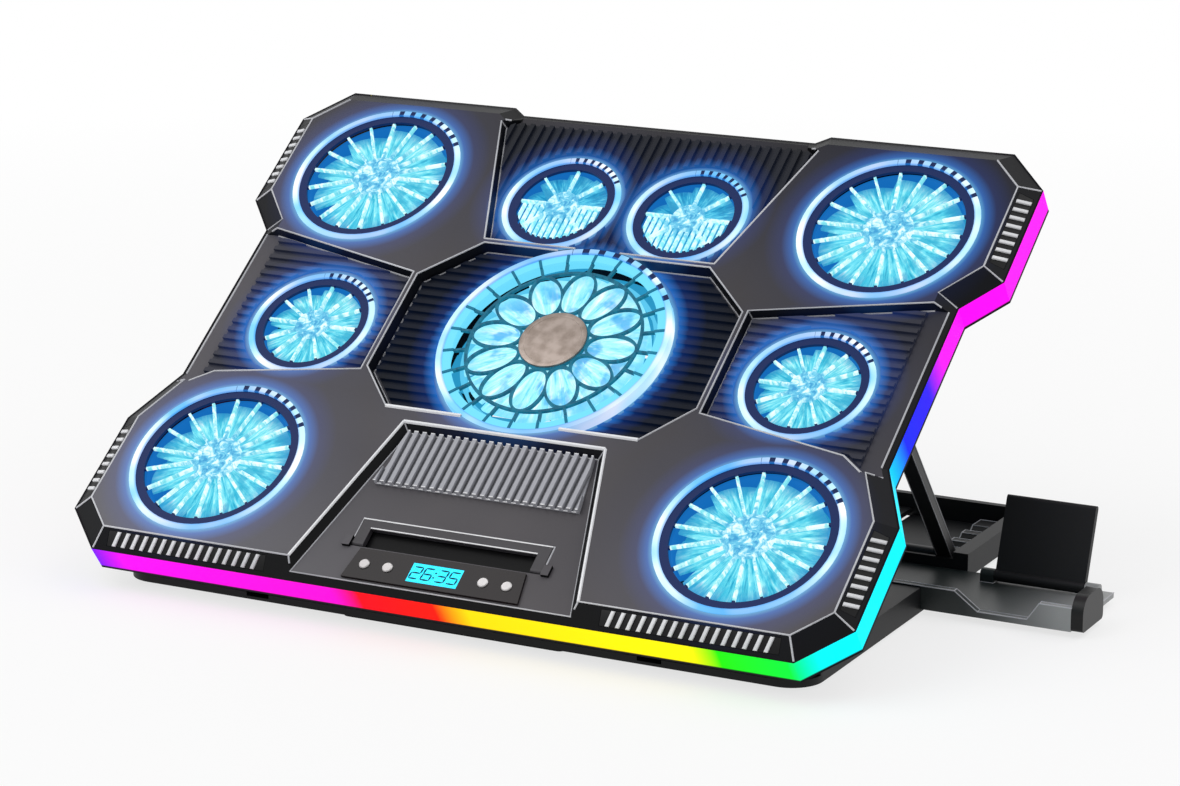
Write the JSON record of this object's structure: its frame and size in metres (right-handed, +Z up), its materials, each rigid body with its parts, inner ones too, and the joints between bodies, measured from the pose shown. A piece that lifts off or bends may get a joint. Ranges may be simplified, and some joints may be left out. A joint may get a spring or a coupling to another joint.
{
  "type": "laptop cooling pad",
  "caption": "Tilting laptop cooling pad: spoked light-ringed fans in an angular deck with a lit edge, on a folding strut and a base with a pull-out phone tray.",
  "frame": {"origin": "on the table plane, under the middle of the hinge line between base and deck", "axes": "+X to the right along the hinge line, +Y to the rear, +Z up from the table"},
  "size_m": [0.478, 0.3029, 0.2072],
  "materials": {
    "body_plastic": "satin",
    "base_plastic": "satin",
    "rib_plastic": "satin",
    "grille_plastic": "satin",
    "frame_plastic": "matte",
    "fan_plastic": "translucent",
    "light_diffuser": "frosted",
    "stop_plastic": "satin",
    "panel_gloss": "polished",
    "key_gloss": "polished",
    "window": "clear",
    "display": "lit",
    "board": "solder mask",
    "steel": "plated",
    "steel_wire_black": "powder coat",
    "foot_rubber": "matte"
  },
  "bodies": {
    "base": {"base_frame": "base_plastic", "base_feet": "foot_rubber", "hinge_pins": "steel", "strut_racks": "base_plastic"},
    "deck": {"top_cover": "body_plastic", "bottom_shell": "body_plastic", "light_strip": "light_diffuser", "light_rings": "light_diffuser", "bevel_vents": "body_plastic", "vent_plate": "body_plastic", "octagon_ribs": "rib_plastic", "side_ribs": "rib_plastic", "rear_ribs": "rib_plastic", "control_panel": "panel_gloss", "display": "display", "display_window": "window", "control_board": "board", "usb_ports": "steel", "case_screws": "steel", "strut_pins": "steel", "centre_grille": "grille_plastic", "centre_frame": "frame_plastic", "rear_left_grille": "grille_plastic", "rear_left_frame": "frame_plastic", "rear_right_grille": "grille_plastic", "rear_right_frame": "frame_plastic", "front_left_grille": "grille_plastic", "front_left_frame": "frame_plastic", "front_right_grille": "grille_plastic", "front_right_frame": "frame_plastic", "side_left_grille": "grille_plastic", "side_left_frame": "frame_plastic", "side_right_grille": "grille_plastic", "side_right_frame": "frame_plastic", "small_left_grille": "grille_plastic", "small_left_frame": "frame_plastic", "small_right_grille": "grille_plastic", "small_right_frame": "frame_plastic"},
    "strut": {"strut": "steel_wire_black"},
    "tray": {"phone_tray": "base_plastic", "tray_end_cap": "base_plastic", "rest_pin": "steel"},
    "phone_rest": {"phone_rest": "base_plastic"},
    "laptop_stop": {"laptop_stop": "stop_plastic"},
    "centre_rotor": {"centre_rotor": "fan_plastic"},
    "rear_left_rotor": {"rear_left_rotor": "fan_plastic"},
    "rear_right_rotor": {"rear_right_rotor": "fan_plastic"},
    "front_left_rotor": {"front_left_rotor": "fan_plastic"},
    "front_right_rotor": {"front_right_rotor": "fan_plastic"},
    "side_left_rotor": {"side_left_rotor": "fan_plastic"},
    "side_right_rotor": {"side_right_rotor": "fan_plastic"},
    "small_left_rotor": {"small_left_rotor": "fan_plastic"},
    "small_right_rotor": {"small_right_rotor": "fan_plastic"},
    "key_left_outer": {"key_left_outer": "key_gloss"},
    "key_left_inner": {"key_left_inner": "key_gloss"},
    "key_right_inner": {"key_right_inner": "key_gloss"},
    "key_right_outer": {"key_right_outer": "key_gloss"}
  },
  "joints": [
    {"name": "deck_tilt", "type": "hinge", "parent": "base", "child": "deck", "pos_m": [0, 0, 0.008], "axis": [1, 0, 0], "range_deg": [-36, 0]},
    {"name": "strut_fold", "type": "hinge", "parent": "deck", "child": "strut", "pos_m": [0, 0.11426, 0.10338], "axis": [1, 0, 0], "range_deg": [0, 86.5]},
    {"name": "tray_slide", "type": "slide", "parent": "base", "child": "tray", "axis": [1, 0, 0], "range_m": [-0.066, 0]},
    {"name": "phone_rest_fold", "type": "hinge", "parent": "tray", "child": "phone_rest", "pos_m": [0.228, 0.17404, 0.009], "axis": [1, 0, 0], "range_deg": [0, 110]},
    {"name": "laptop_stop_flip", "type": "hinge", "parent": "deck", "child": "laptop_stop", "pos_m": [0, -0.00716, 0.03827], "axis": [1, 0, 0], "range_deg": [0, 100]},
    {"name": "centre_fan_spin", "type": "hinge", "parent": "deck", "child": "centre_rotor", "pos_m": [0, 0.10724, 0.10878], "axis": [0, -0.5878, 0.809], "continuous": true},
    {"name": "rear_left_fan_spin", "type": "hinge", "parent": "deck", "child": "rear_left_rotor", "pos_m": [-0.144, 0.18313, 0.16392], "axis": [0, -0.5878, 0.809], "continuous": true},
    {"name": "rear_right_fan_spin", "type": "hinge", "parent": "deck", "child": "rear_right_rotor", "pos_m": [0.144, 0.18313, 0.16392], "axis": [0, -0.5878, 0.809], "continuous": true},
    {"name": "front_left_fan_spin", "type": "hinge", "parent": "deck", "child": "front_left_rotor", "pos_m": [-0.144, 0.02691, 0.05042], "axis": [0, -0.5878, 0.809], "continuous": true},
    {"name": "front_right_fan_spin", "type": "hinge", "parent": "deck", "child": "front_right_rotor", "pos_m": [0.144, 0.02691, 0.05042], "axis": [0, -0.5878, 0.809], "continuous": true},
    {"name": "side_left_fan_spin", "type": "hinge", "parent": "deck", "child": "side_left_rotor", "pos_m": [-0.1368, 0.10295, 0.10567], "axis": [0, -0.5878, 0.809], "continuous": true},
    {"name": "side_right_fan_spin", "type": "hinge", "parent": "deck", "child": "side_right_rotor", "pos_m": [0.1368, 0.10295, 0.10567], "axis": [0, -0.5878, 0.809], "continuous": true},
    {"name": "small_left_fan_spin", "type": "hinge", "parent": "deck", "child": "small_left_rotor", "pos_m": [-0.0355, 0.1811, 0.16245], "axis": [0, -0.5878, 0.809], "continuous": true},
    {"name": "small_right_fan_spin", "type": "hinge", "parent": "deck", "child": "small_right_rotor", "pos_m": [0.0355, 0.1811, 0.16245], "axis": [0, -0.5878, 0.809], "continuous": true},
    {"name": "key_left_outer_press", "type": "slide", "parent": "deck", "child": "key_left_outer", "axis": [0, -0.5878, 0.809], "range_m": [-0.0008, 0], "stiffness_N_per_m": 600, "springref_m": 0.001},
    {"name": "key_left_inner_press", "type": "slide", "parent": "deck", "child": "key_left_inner", "axis": [0, -0.5878, 0.809], "range_m": [-0.0008, 0], "stiffness_N_per_m": 600, "springref_m": 0.001},
    {"name": "key_right_inner_press", "type": "slide", "parent": "deck", "child": "key_right_inner", "axis": [0, -0.5878, 0.809], "range_m": [-0.0008, 0], "stiffness_N_per_m": 600, "springref_m": 0.001},
    {"name": "key_right_outer_press", "type": "slide", "parent": "deck", "child": "key_right_outer", "axis": [0, -0.5878, 0.809], "range_m": [-0.0008, 0], "stiffness_N_per_m": 600, "springref_m": 0.001}
  ],
  "couplings": [
    {"joint": "strut_fold", "follows": "deck_tilt", "ratio": -2.4023},
    {"joint": "phone_rest_fold", "follows": "tray_slide", "rad_per_m": -29.089}
  ]
}
